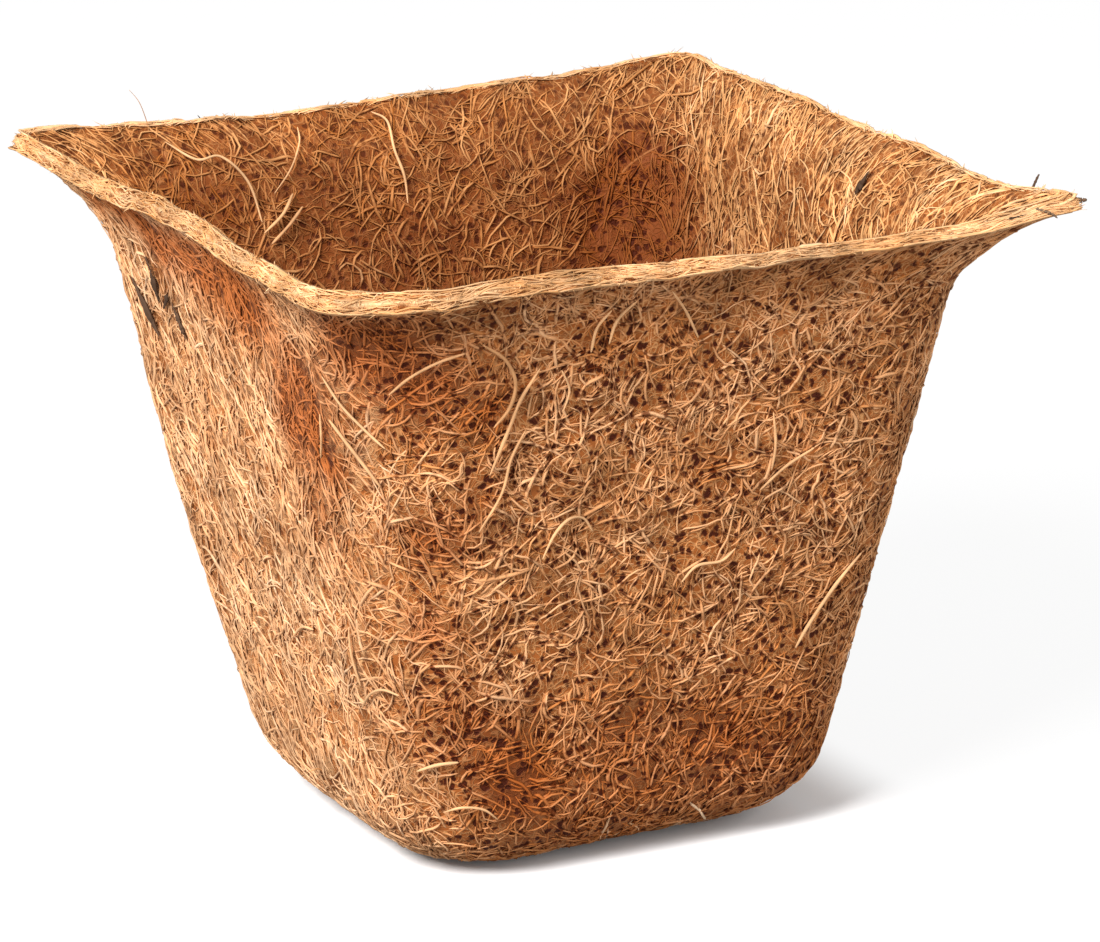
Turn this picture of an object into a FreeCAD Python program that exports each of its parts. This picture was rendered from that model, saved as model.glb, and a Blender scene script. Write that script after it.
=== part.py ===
import FreeCAD, Part
import math
import os
import Sketcher

# Square coir pot, eared brim, on its own flat floor
#
# The pot is one pressing of coconut fibre felt: a flat floor, four leaning walls with wide round
# corners, and a bell mouth whose corners are drawn out into thin ears. The cut edge of the felt shows
# all round the brim. On and in the felt lie single fibres and slivers of husk, which the binder holds
# only here and there, and each of those is a piece of its own.
#
# Millimetres. +Z is up, the floor is at Z = 0, the sides of the brim face X and Y, and the blunt
# corner of the brim is the one at -X -Y.

doc = FreeCAD.newDocument("coir_pot")
sizes = doc.addObject("Spreadsheet::Sheet", "sizes")

DRIVING = {
    # the felt pot, outside, and the thickness of its felt
    "brim_side": 100.0,
    "brim_height": 82.5,
    "felt_thickness": 2.4,
    "edge_land": 0.4,
    # the side that the walls would meet the floor at if that edge were sharp
    "foot_side": 60.6,
    "foot_corner_radius": 13.5,
    "floor_edge_radius": 13.2,
    # the flare below the brim, and how far each side of the brim stands out past its start
    "flare_height": 11.0,
    "flare_overhang": 6.5,
    "shoulder_corner_radius": 13.5,
    # the corners of the brim, and the part of a quarter turn that the flare makes
    "ear_tip_radius": 1.2,
    "front_corner_radius": 10.5,
    "flare_turn_deg": 75.0,
    # single fibres and husk, and how near they lie to the felt
    "fine_fibre_thickness": 0.36,
    "fibre_thickness": 0.46,
    "stout_fibre_thickness": 0.62,
    "husk_thickness": 0.5,
    "seat_clearance": 0.15,
}
for row, (name, value) in enumerate(DRIVING.items(), start=1):
    sizes.set(f"A{row}", name)
    sizes.set(f"B{row}", str(value))
    sizes.setAlias(f"B{row}", name)
doc.recompute()


def size(name):
    """The value of one cell of the sheet."""
    return float(sizes.get(name))


# The walls' outline, as expressions on the sheet
#
# From the floor up it is a round of floor_edge_radius, a straight leaning wall, and a flare that is
# part of an ellipse. The lining is the same outline moved in by the felt's thickness, square to it.

SHOULDER_HEIGHT = "(sizes.brim_height - sizes.flare_height)"
SHOULDER_REACH = "(sizes.brim_side / 2 - sizes.flare_overhang)"
DRAFT = f"(({SHOULDER_REACH} - sizes.foot_side / 2) / {SHOULDER_HEIGHT})"
DRAFT_ANGLE = f"atan({DRAFT})"
ROUND_REACH = f"(sizes.floor_edge_radius * tan((90 deg - {DRAFT_ANGLE}) / 2))"
FLARE_END = "(sizes.flare_turn_deg * 1 deg)"
FLARE_REACH = f"(sizes.brim_side / 2 - sizes.foot_side / 2 - {DRAFT} * sizes.brim_height)"

ROUND_SHARES = (0.0, 0.25, 0.5, 0.75, 1.0)
WALL_SHARES = (1.0,)
FLARE_SHARES = (0.25, 0.5, 0.75, 1.0)


def floor_round(share, inset):
    """Height, half side and corner radius of the outline on the round above the floor."""
    turn = f"({share} * (90 deg - {DRAFT_ANGLE}))"
    radius = f"(sizes.floor_edge_radius - {inset})"
    grown = f"({radius} * sin({turn}) - {ROUND_REACH})"
    height = f"sizes.floor_edge_radius - {radius} * cos({turn})"
    half_side = f"sizes.foot_side / 2 + {grown}"
    outer = f"(sizes.foot_side / 2 + sizes.floor_edge_radius * sin({turn}) - {ROUND_REACH})"
    corner = f"sizes.foot_corner_radius * {outer} / (sizes.foot_side / 2) - {inset} * sin({turn})"
    return height, half_side, corner, corner


def straight_wall(share, inset):
    """The same on the straight wall, from the top of the floor's round to the shoulder."""
    start = f"(sizes.floor_edge_radius * (1 - sin({DRAFT_ANGLE})))"
    outer_height = f"({start} + {share} * ({SHOULDER_HEIGHT} - {start}))"
    start_side = f"(sizes.foot_side / 2 + {DRAFT} * {start})"
    start_corner = f"(sizes.foot_corner_radius * {start_side} / (sizes.foot_side / 2))"
    outer_corner = f"({start_corner} + {share} * (sizes.shoulder_corner_radius - {start_corner}))"
    height = f"{outer_height} + {inset} * sin({DRAFT_ANGLE})"
    half_side = f"sizes.foot_side / 2 + {DRAFT} * {outer_height} - {inset} * cos({DRAFT_ANGLE})"
    corner = f"{outer_corner} - {inset} * cos({DRAFT_ANGLE})"
    return height, half_side, corner, corner


def flare(share, inset):
    """The same on the flare, where the corners close up into the ears as the sides lean out."""
    turn = f"({share} * {FLARE_END})"
    grown = f"((1 - cos({turn})) / (1 - cos({FLARE_END})))"
    outer_height = f"({SHOULDER_HEIGHT} + sizes.flare_height * sin({turn}) / sin({FLARE_END}))"
    steepening = f"(sin({FLARE_END}) / (1 - cos({FLARE_END})) * tan({turn}))"
    lean = f"atan({DRAFT} + {FLARE_REACH} / sizes.flare_height * {steepening})"
    height = f"{outer_height} + {inset} * sin({lean})"
    half_side = (
        f"sizes.foot_side / 2 + {DRAFT} * {outer_height} + {FLARE_REACH} * {grown}"
        f" - {inset} * cos({lean})"
    )
    shoulder_corner = f"(sizes.shoulder_corner_radius - {inset} * cos({lean}))"
    ear = f"{shoulder_corner} + (sizes.ear_tip_radius - {shoulder_corner}) * {grown}"
    front = f"{shoulder_corner} + (sizes.front_corner_radius - {shoulder_corner}) * {grown}"
    return height, half_side, ear, front


def outline(inset):
    """All the stations of the outline, from the floor up."""
    stations = [floor_round(share, inset) for share in ROUND_SHARES]
    stations += [straight_wall(share, inset) for share in WALL_SHARES]
    stations += [flare(share, inset) for share in FLARE_SHARES]
    return stations


# the straight part of a sketch's first guess, which its constraints then move
FIRST_STRAIGHT_SHARE = 0.7


def rounded_square(body, name, height, half_side, corner, front_corner):
    """A sketch of a square with round corners, the one at -X -Y with a radius of its own."""
    plane = next(o for o in body.Origin.OriginFeatures if o.Role == "XY_Plane")
    sketch = body.newObject("Sketcher::SketchObject", name)
    sketch.AttachmentSupport = [(plane, "")]
    sketch.MapMode = "FlatFace"
    side = size("foot_side") / 2
    arm = side * FIRST_STRAIGHT_SHARE
    bend = side - arm
    ends = ((side, arm), (arm, side), (-arm, side), (-side, arm))
    ends += ((-side, -arm), (-arm, -side), (arm, -side), (side, -arm))
    points = [FreeCAD.Vector(x, y, 0) for x, y in ends]
    up = FreeCAD.Vector(0, 0, 1)
    centres = [FreeCAD.Vector(x, y, 0) for x, y in ((arm, arm), (-arm, arm), (-arm, -arm), (arm, -arm))]
    for quarter, centre in enumerate(centres):
        circle = Part.Circle(centre, up, bend)
        start = math.radians(90 * quarter)
        sketch.addGeometry(Part.ArcOfCircle(circle, start, start + math.radians(90)))
        sketch.addGeometry(Part.LineSegment(points[2 * quarter + 1], points[(2 * quarter + 2) % 8]))
    # each arc runs into the line after it and out of the line before it
    for quarter in range(4):
        arc = 2 * quarter
        sketch.addConstraint(Sketcher.Constraint("Tangent", arc, 2, arc + 1, 1))
        sketch.addConstraint(Sketcher.Constraint("Tangent", arc + 1, 2, (arc + 2) % 8, 1))
    sketch.addConstraint(Sketcher.Constraint("Horizontal", 1))
    sketch.addConstraint(Sketcher.Constraint("Vertical", 3))
    sketch.addConstraint(Sketcher.Constraint("Horizontal", 5))
    sketch.addConstraint(Sketcher.Constraint("Vertical", 7))
    distances = (("DistanceY", 1, 1, side), ("DistanceX", 7, 1, side))
    distances += (("DistanceX", 3, 1, -side), ("DistanceY", 5, 1, -side))
    for kind, line, end, value in distances:
        added = sketch.addConstraint(Sketcher.Constraint(kind, -1, 1, line, end, value))
        sign = "" if value > 0 else "-"
        sketch.setExpression(f"Constraints[{added}]", f"{sign}({half_side})")
    for quarter, radius in enumerate((corner, corner, front_corner, corner)):
        added = sketch.addConstraint(Sketcher.Constraint("Radius", 2 * quarter, bend))
        sketch.setExpression(f"Constraints[{added}]", radius)
    sketch.setExpression(".AttachmentOffset.Base.z", height)
    return sketch


def loft(body, kind, name, sections):
    """A loft through sections, the first of them its profile."""
    feature = body.newObject(kind, name)
    feature.Profile = sections[0]
    feature.Sections = sections[1:]
    feature.Ruled = True
    return feature


def felt_pot():
    """The pressing: a solid outer form with its cut edge, and the lining form taken out of it."""
    body = doc.addObject("PartDesign::Body", "felt_pot")
    body.Label = "felt_pot"
    outer = []
    for number, station in enumerate(outline("0 * sizes.felt_thickness")):
        outer.append(rounded_square(body, f"outer_{number}", *station))
    loft(body, "PartDesign::AdditiveLoft", "outer_form", outer)
    lining = outline("sizes.felt_thickness")
    height, half_side, ear, front = lining[-1]
    land = [f"{value} + sizes.edge_land" for value in (half_side, ear, front)]
    edge = rounded_square(body, "cut_edge_top", height, *land)
    loft(body, "PartDesign::AdditiveLoft", "cut_edge", [outer[-1], edge])
    inner = []
    for number, station in enumerate(lining):
        inner.append(rounded_square(body, f"lining_{number}", *station))
    loft(body, "PartDesign::SubtractiveLoft", "lining_form", inner)
    return body


pot = felt_pot()
doc.recompute()

# The free fibres and the husk
#
# Their routes are lists of places on the walls, chosen by hand. A place is a share of half the
# wall's width at its height, a share of the brim's height, and how many of its own thicknesses the
# fibre stands off the felt there. Each place is found on the felt itself, so it follows its wall.

SKINS = {
    # the wall's direction, the way along it, and whether the fibre lies on the outside
    "front": ((0, -1), (1, 0), True),
    "left": ((-1, 0), (0, 1), True),
    "back_lining": ((0, 1), (1, 0), False),
    "right_lining": ((1, 0), (0, 1), False),
}
SIDES_OF_A_FIBRE = 6
# each bend takes this share of the shorter run beside it
BEND_SHARE = 0.45


def felt_depths(start, out):
    """How far from start each face of the felt is that lies in the direction out."""
    far = start + out * size("brim_side")
    hits = pot.Shape.common(Part.makeLine(start, far)).Vertexes
    return [(hit.Point - start).dot(out) for hit in hits]


def on_felt(skin, along_share, height_share, clear_of_felt):
    """The point at a place on a wall, standing square off the felt by clear_of_felt."""
    way, along, outside = SKINS[skin]
    out = FreeCAD.Vector(way[0], way[1], 0)
    axis = FreeCAD.Vector(0, 0, height_share * size("brim_height"))
    half_width = max(felt_depths(axis, out))
    middle = axis + FreeCAD.Vector(along[0], along[1], 0) * (along_share * half_width)
    depths = felt_depths(middle, out)
    away = out if outside else out * -1
    face = middle + out * (max(depths) if outside else min(depths))
    # the nearest felt to a point a little way off gives the direction square to it
    off = Part.Vertex(face + away * size("felt_thickness"))
    nearest = off.distToShape(pot.Shape)[1][0][1]
    square = (off.Point - nearest).normalize()
    return nearest + square * clear_of_felt


def bent_path(points):
    """Straight runs between the points, joined by tangent arcs as wide as the runs allow."""
    edges = []
    start = points[0]
    for before, corner, after in zip(points, points[1:], points[2:]):
        run_in = corner - before
        run_out = after - corner
        taken = BEND_SHARE * min(run_in.Length, run_out.Length)
        half_turn = run_in.getAngle(run_out) / 2
        run_in.normalize()
        run_out.normalize()
        radius = taken / math.tan(half_turn)
        inward = (run_out - run_in).normalize()
        middle = corner + inward * (radius / math.cos(half_turn) - radius)
        arc_start = corner - run_in * taken
        arc_end = corner + run_out * taken
        edges.append(Part.LineSegment(start, arc_start).toShape())
        edges.append(Part.Arc(arc_start, middle, arc_end).toShape())
        start = arc_end
    edges.append(Part.LineSegment(start, points[-1]).toShape())
    return Part.Wire(edges)


def fibre(name, thickness_name, skin, places):
    """One fibre: a six sided stalk of one thickness along its route."""
    thickness = size(thickness_name)
    points = []
    for along_share, height_share, stand_off_share in places:
        clear_of_felt = thickness / 2 + size("seat_clearance") + stand_off_share * thickness
        points.append(on_felt(skin, along_share, height_share, clear_of_felt))
    path = bent_path(points)
    first_run = (points[1] - points[0]).normalize()
    upright = FreeCAD.Vector(0, 0, 1)
    across = first_run.cross(upright).normalize() * (thickness / 2)
    corners = []
    for corner in range(SIDES_OF_A_FIBRE + 1):
        turn = FreeCAD.Rotation(first_run, 360 / SIDES_OF_A_FIBRE * (corner % SIDES_OF_A_FIBRE))
        corners.append(points[0] + turn.multVec(across))
    stalk = doc.addObject("Part::Feature", name)
    stalk.Label = name
    stalk.Shape = path.makePipeShell([Part.makePolygon(corners)], True, False)
    return stalk


FIBRES = (
    # on the lining, behind the left ear and across the back wall
    ("inner_curl_fibre", "fibre_thickness", "back_lining",
     ((-0.67, 0.98, 0), (-0.625, 0.955, 2), (-0.55, 0.955, 3), (-0.49, 0.92, 2), (-0.46, 0.86, 0))),
    ("inner_twin_fibre_upper", "stout_fibre_thickness", "back_lining",
     ((-0.465, 0.845, 0), (-0.395, 0.872, 1), (-0.34, 0.90, 0.5))),
    ("inner_twin_fibre_lower", "stout_fibre_thickness", "back_lining",
     ((-0.445, 0.825, 0), (-0.375, 0.855, 1), (-0.315, 0.88, 0.5))),
    ("inner_left_strand", "fine_fibre_thickness", "back_lining",
     ((-0.24, 0.985, 0), (-0.265, 0.965, 1), (-0.33, 0.93, 1.5), (-0.405, 0.90, 0.5))),
    ("inner_back_strand", "fibre_thickness", "back_lining",
     ((0.00, 0.99, 0), (0.035, 0.975, 1), (0.035, 0.94, 1), (0.055, 0.90, 0.5), (0.06, 0.86, 0))),
    # on the front wall, from the brim down and from left to right
    ("front_cross_fibre", "fibre_thickness", "front",
     ((-0.89, 0.845, 0.5), (-0.835, 0.875, 0.7), (-0.76, 0.90, 0.5), (-0.675, 0.91, 0))),
    ("front_bundle_fibre", "stout_fibre_thickness", "front",
     ((-0.625, 0.92, 0), (-0.56, 0.89, 0), (-0.53, 0.85, 0), (-0.55, 0.81, 0), (-0.605, 0.78, 0))),
    ("front_sweep_fibre_upper", "stout_fibre_thickness", "front",
     ((-0.45, 0.87, 0), (-0.515, 0.82, 0), (-0.55, 0.78, 0), (-0.625, 0.70, 0))),
    ("front_sweep_fibre_lower", "fibre_thickness", "front",
     ((-0.50, 0.77, 0), (-0.55, 0.725, 0), (-0.585, 0.67, 0), (-0.67, 0.61, 0))),
    ("front_upright_fibre_left", "fine_fibre_thickness", "front",
     ((-0.385, 0.86, 0), (-0.36, 0.825, 0), (-0.38, 0.79, 0))),
    ("front_rim_fibre_left", "fibre_thickness", "front",
     ((-0.24, 0.95, 0), (-0.28, 0.92, 0), (-0.295, 0.88, 0))),
    ("front_rim_fibre_middle", "fibre_thickness", "front",
     ((-0.17, 0.965, 0), (-0.22, 0.93, 0), (-0.24, 0.89, 0))),
    ("front_rim_fibre_right", "fibre_thickness", "front",
     ((-0.075, 0.975, 0), (-0.01, 0.93, 0), (0.045, 0.88, 0))),
    ("front_hook_fibre", "fibre_thickness", "front",
     ((-0.27, 0.585, 0), (-0.305, 0.61, 0), (-0.355, 0.612, 0), (-0.405, 0.59, 0), (-0.45, 0.55, 0))),
    ("front_middle_fibre", "fibre_thickness", "front",
     ((0.065, 0.475, 0), (0.12, 0.50, 0), (0.21, 0.502, 0), (0.26, 0.52, 0))),
    ("front_upright_fibre_right", "fibre_thickness", "front",
     ((0.325, 0.74, 0), (0.35, 0.685, 0), (0.35, 0.64, 0))),
    ("front_slant_fibre", "fibre_thickness", "front",
     ((0.315, 0.61, 0), (0.40, 0.645, 0), (0.495, 0.67, 0))),
    ("front_right_fibre", "stout_fibre_thickness", "front",
     ((0.775, 0.475, 0), (0.68, 0.43, 0), (0.60, 0.37, 0), (0.56, 0.33, 0))),
    # round the blunt corner, and on the left wall
    ("corner_fibre_upper", "fibre_thickness", "left",
     ((-0.725, 0.86, 0.4), (-0.795, 0.82, 0.7), (-0.86, 0.785, 0.7), (-0.905, 0.755, 0.4))),
    ("corner_fibre_middle", "stout_fibre_thickness", "left",
     ((-0.73, 0.79, 0.4), (-0.79, 0.76, 0.4), (-0.835, 0.73, 0.4), (-0.88, 0.69, 0.4))),
    ("left_upright_fibre_upper", "fibre_thickness", "left",
     ((-0.675, 0.79, 0), (-0.66, 0.75, 0), (-0.63, 0.71, 0))),
    ("left_upright_fibre_lower", "fibre_thickness", "left",
     ((-0.64, 0.43, 0), (-0.63, 0.38, 0), (-0.66, 0.33, 0))),
    ("left_short_fibre", "fibre_thickness", "left",
     ((-0.085, 0.34, 0), (-0.21, 0.375, 0), (-0.32, 0.385, 0))),
    # near the floor
    ("foot_arc_fibre", "fibre_thickness", "left",
     ((-0.635, 0.29, 0), (-0.71, 0.325, 0.4), (-0.775, 0.34, 0.6), (-0.835, 0.335, 0.6))),
    ("foot_star_fibre", "stout_fibre_thickness", "front",
     ((-0.90, 0.205, 0.6), (-0.84, 0.22, 0.6), (-0.77, 0.225, 0.3))),
    ("foot_edge_fibre", "fibre_thickness", "front",
     ((-0.835, 0.135, 0.6), (-0.77, 0.145, 0.6), (-0.695, 0.14, 0.4), (-0.64, 0.12, 0.4))),
)
fibres = [fibre(*row) for row in FIBRES]


def husk_sliver(name, skin, tip, end, width_share):
    """A flat dark flake of husk, pointed at both ends and widest near the middle."""
    thickness = size("husk_thickness")
    start = on_felt(skin, *tip, size("seat_clearance"))
    finish = on_felt(skin, *end, size("seat_clearance"))
    length = finish - start
    lifted = on_felt(skin, *tip, size("seat_clearance") + thickness)
    square = (lifted - start).normalize()
    across = length.cross(square).normalize() * (length.Length * width_share / 2)
    widest = start + length / 2
    outline_points = [start, widest + across, finish, widest - across, start]
    flake = doc.addObject("Part::Feature", name)
    flake.Label = name
    flake.Shape = Part.Face(Part.makePolygon(outline_points)).extrude(square * thickness)
    return flake


HUSK = (
    ("husk_sliver_long", "left", (0.645, 0.85), (0.515, 0.76), 0.12),
    ("husk_sliver_forked", "left", (0.475, 0.90), (0.455, 0.825), 0.16),
    ("husk_sliver_prong", "left", (0.43, 0.82), (0.37, 0.85), 0.22),
    ("husk_sliver_short", "left", (0.35, 0.84), (0.295, 0.785), 0.14),
    ("inner_husk_sliver", "right_lining", (-0.245, 0.93), (-0.255, 0.97), 0.20),
)
husk = [husk_sliver(*row) for row in HUSK]

PARTS = [pot] + fibres + husk

for thing in doc.Objects:
    if "Invalid" in thing.State or "Error" in thing.State:
        raise RuntimeError(f"{thing.Name} did not build: {thing.State}")
for part in PARTS:
    if part.Shape.isNull() or not part.Shape.isValid():
        raise RuntimeError(f"{part.Label} has no valid shape")

os.makedirs("parts", exist_ok=True)
for part in PARTS:
    part.Shape.exportStep(f"parts/{part.Label}.step")
    box = part.Shape.BoundBox
    print(part.Label, len(part.Shape.Solids), round(part.Shape.Volume, 1), box)
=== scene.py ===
import math

import bpy
import numpy as np
from mathutils import Matrix, Vector


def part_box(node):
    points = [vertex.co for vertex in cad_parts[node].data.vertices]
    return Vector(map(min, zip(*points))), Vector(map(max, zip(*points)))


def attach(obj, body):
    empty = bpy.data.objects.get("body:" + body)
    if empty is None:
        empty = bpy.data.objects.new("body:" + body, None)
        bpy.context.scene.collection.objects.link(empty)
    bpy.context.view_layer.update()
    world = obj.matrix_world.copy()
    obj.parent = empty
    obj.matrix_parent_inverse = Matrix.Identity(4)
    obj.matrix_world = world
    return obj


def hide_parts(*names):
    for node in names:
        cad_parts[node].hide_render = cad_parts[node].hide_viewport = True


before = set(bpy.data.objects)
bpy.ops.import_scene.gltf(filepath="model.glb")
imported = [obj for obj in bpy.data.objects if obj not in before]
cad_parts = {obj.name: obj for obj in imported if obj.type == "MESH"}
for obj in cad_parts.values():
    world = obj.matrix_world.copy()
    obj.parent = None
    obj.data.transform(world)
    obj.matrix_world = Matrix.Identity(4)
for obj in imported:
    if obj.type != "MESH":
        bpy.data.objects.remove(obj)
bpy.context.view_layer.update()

# The square coir pot, looked at from a little above the blunt corner of its brim
#
# Metres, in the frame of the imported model: +Z up, floor at Z = 0, the blunt corner at -X -Y.
MM = 0.001
PX_WIDE = 1100
POT_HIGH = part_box("felt_pot")[1]


def placed(name, data):
    """A new object of that data, in the scene."""
    made = bpy.data.objects.new(name, data)
    bpy.context.scene.collection.objects.link(made)
    return made


# The camera
#
# It stands where the photographer stood, by the outline of the brim and the foot: a long lens from
# about 0.84 m, 16 degrees above the table, and held a little out of level.
AZIMUTH = math.radians(-26.387)
ELEVATION = math.radians(16.056)
ROLL = math.radians(-0.734)
DISTANCE = 0.83935
FOCAL_PX = 6431.8
OFF_RIGHT = 2.71 * MM
OFF_UP = 4.45 * MM
AIM = Vector((0, 0, 40 * MM))

back = Vector((
    math.sin(AZIMUTH) * math.cos(ELEVATION),
    -math.cos(AZIMUTH) * math.cos(ELEVATION),
    math.sin(ELEVATION),
))
level = Vector((math.cos(AZIMUTH), math.sin(AZIMUTH), 0))
upright = back.cross(level)
right = level * math.cos(ROLL) + upright * math.sin(ROLL)
above = upright * math.cos(ROLL) - level * math.sin(ROLL)
eye = AIM + back * DISTANCE + right * OFF_RIGHT + above * OFF_UP
camera_data = bpy.data.cameras.new("photographer")
camera_data.sensor_fit = "HORIZONTAL"
camera_data.lens = FOCAL_PX * camera_data.sensor_width / PX_WIDE
camera_data.clip_start = 0.05
camera_data.clip_end = 20
camera = placed("photographer", camera_data)
camera.matrix_world = Matrix.Translation(eye) @ Matrix((right, above, back)).transposed().to_4x4()
bpy.context.scene.camera = camera

# The table and the light
#
# A white sweep under a large soft lamp to the left and a weak one to the right, in a pale room. The
# camera sees the sweep as paint close to the foot, where the shadow is, and further out as white.
TABLE_HALF = 4.0
FOOT_PRINT = 24 * MM
FOOT_PRINT_ROUND = 8 * MM
SHADOW_FADE = 15 * MM
WHITE = (1, 1, 1, 1)
SWEEP_GREY = (0.38, 0.37, 0.36, 1)
ROOM_LIGHT = 0.48


def shader_node(tree, kind, inputs=(), **settings):
    """The outputs of a new node in a shader tree. Each input, by name or number, is linked where a
    socket is given for it, and otherwise holds the value."""
    node = tree.nodes.new("ShaderNode" + kind)
    for setting, value in settings.items():
        setattr(node, setting, value)
    for key, value in dict(inputs).items():
        if isinstance(value, bpy.types.NodeSocket):
            tree.links.new(value, node.inputs[key])
        else:
            node.inputs[key].default_value = value
    return node.outputs


def ranged(tree, value, low, high, to_low, to_high):
    """A value led smoothly from the range low to high over to the range to_low to to_high."""
    limits = {"Value": value, "From Min": low, "From Max": high, "To Min": to_low, "To Max": to_high}
    return shader_node(tree, "MapRange", limits, interpolation_type="SMOOTHSTEP")["Result"]


def joined(tree, operation, first, second):
    """Two values put through one operation."""
    return shader_node(tree, "Math", {0: first, 1: second}, operation=operation)[0]


def blend(tree, factor, first, second):
    """The colour between two colours."""
    inputs = {"Factor": factor, "A": first, "B": second}
    return shader_node(tree, "Mix", inputs, data_type="RGBA")["Result"]


def sweep_material():
    """Grey paint that the camera sees as white, with a full white added more and more away from the
    foot: the distance from a round-cornered square drives it."""
    material = bpy.data.materials.new("white_sweep")
    material.use_nodes = True
    tree = material.node_tree
    tree.nodes.clear()
    camera_ray = shader_node(tree, "LightPath")["Is Camera Ray"]
    paint = shader_node(tree, "BsdfDiffuse", {"Color": blend(tree, camera_ray, SWEEP_GREY, WHITE)})
    glow = shader_node(tree, "Emission", {"Color": WHITE})
    vector = shader_node(tree, "NewGeometry")["Position"]
    for operation, value in (
        ("MULTIPLY", {1: (1, 1, 0)}),
        ("ABSOLUTE", {}),
        ("SUBTRACT", {1: (FOOT_PRINT, FOOT_PRINT, 0)}),
        ("MAXIMUM", {1: (0, 0, 0)}),
        ("LENGTH", {}),
    ):
        results = shader_node(tree, "VectorMath", {0: vector, **value}, operation=operation)
        vector = results["Value" if operation == "LENGTH" else "Vector"]
    far = ranged(tree, vector, FOOT_PRINT_ROUND, FOOT_PRINT_ROUND + SHADOW_FADE, 0.03, 0.89)
    share = joined(tree, "MULTIPLY", far, camera_ray)
    mix = shader_node(tree, "MixShader", {"Fac": share, 1: paint[0], 2: glow[0]})
    shader_node(tree, "OutputMaterial", {"Surface": mix[0]})
    return material


table_data = bpy.data.meshes.new("table")
corners = [(x * TABLE_HALF, y * TABLE_HALF, 0) for x, y in ((-1, -1), (1, -1), (1, 1), (-1, 1))]
table_data.from_pydata(corners, [], [(0, 1, 2, 3)])
table_data.materials.append(sweep_material())
table = placed("table", table_data)

room = bpy.data.worlds.new("room")
bpy.context.scene.world = room
room.use_nodes = True
rays = shader_node(room.node_tree, "LightPath")
any_view = joined(room.node_tree, "MAXIMUM", rays["Is Camera Ray"], rays["Is Glossy Ray"])
levels = {"Value": any_view, "To Min": ROOM_LIGHT, "To Max": 1.0}
strength = shader_node(room.node_tree, "MapRange", levels)
sky = room.node_tree.nodes["Background"]
sky.inputs["Color"].default_value = WHITE
room.node_tree.links.new(strength["Result"], sky.inputs["Strength"])
bpy.context.scene.view_settings.view_transform = "Standard"


def soft_lamp(name, place, aim, width, power):
    """A square lamp at place, turned to aim."""
    data = bpy.data.lights.new(name, "AREA")
    data.size = width
    data.energy = power
    lamp = placed(name, data)
    lamp.location = place
    lamp.rotation_euler = (Vector(aim) - Vector(place)).to_track_quat("-Z", "Y").to_euler()


soft_lamp("window", (-0.75, -0.42, 0.72), (0, 0, 0.04), 0.45, 22.5)
soft_lamp("reflector", (0.55, -0.80, 0.45), (0, 0, 0.04), 0.70, 4.0)

# The felt's own shape
#
# Coconut fibre sprayed with rubber and pressed hot between two moulds: a flat floor, a wide round, a
# straight leaning wall and a flare whose corners close up into ears. All fibres are laid on this
# shape, which is counted in sides round the pot and metres up the wall from the middle of the floor.
FELT_THICKNESS = 2.4 * MM
FOOT_HALF = 30.3 * MM
FOOT_CORNER = 13.5 * MM
FLOOR_ROUND = 13.2 * MM
SHOULDER_HEIGHT = 71.5 * MM
SHOULDER_HALF = POT_HIGH.x - 6.5 * MM
SHOULDER_CORNER = 13.5 * MM
BRIM_HEIGHT = 82.5 * MM
EAR_TIP = 1.2 * MM
FRONT_CORNER = 10.5 * MM
FLARE_TURN = math.radians(75)
RUN_OUT = 4 * MM
DRAFT = (SHOULDER_HALF - FOOT_HALF) / SHOULDER_HEIGHT
DRAFT_ANGLE = math.atan(DRAFT)
FULL_ROUND = math.pi / 2 - DRAFT_ANGLE
ROUND_REACH = FLOOR_ROUND * math.tan(FULL_ROUND / 2)
DISC_HALF = FOOT_HALF - ROUND_REACH


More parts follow.
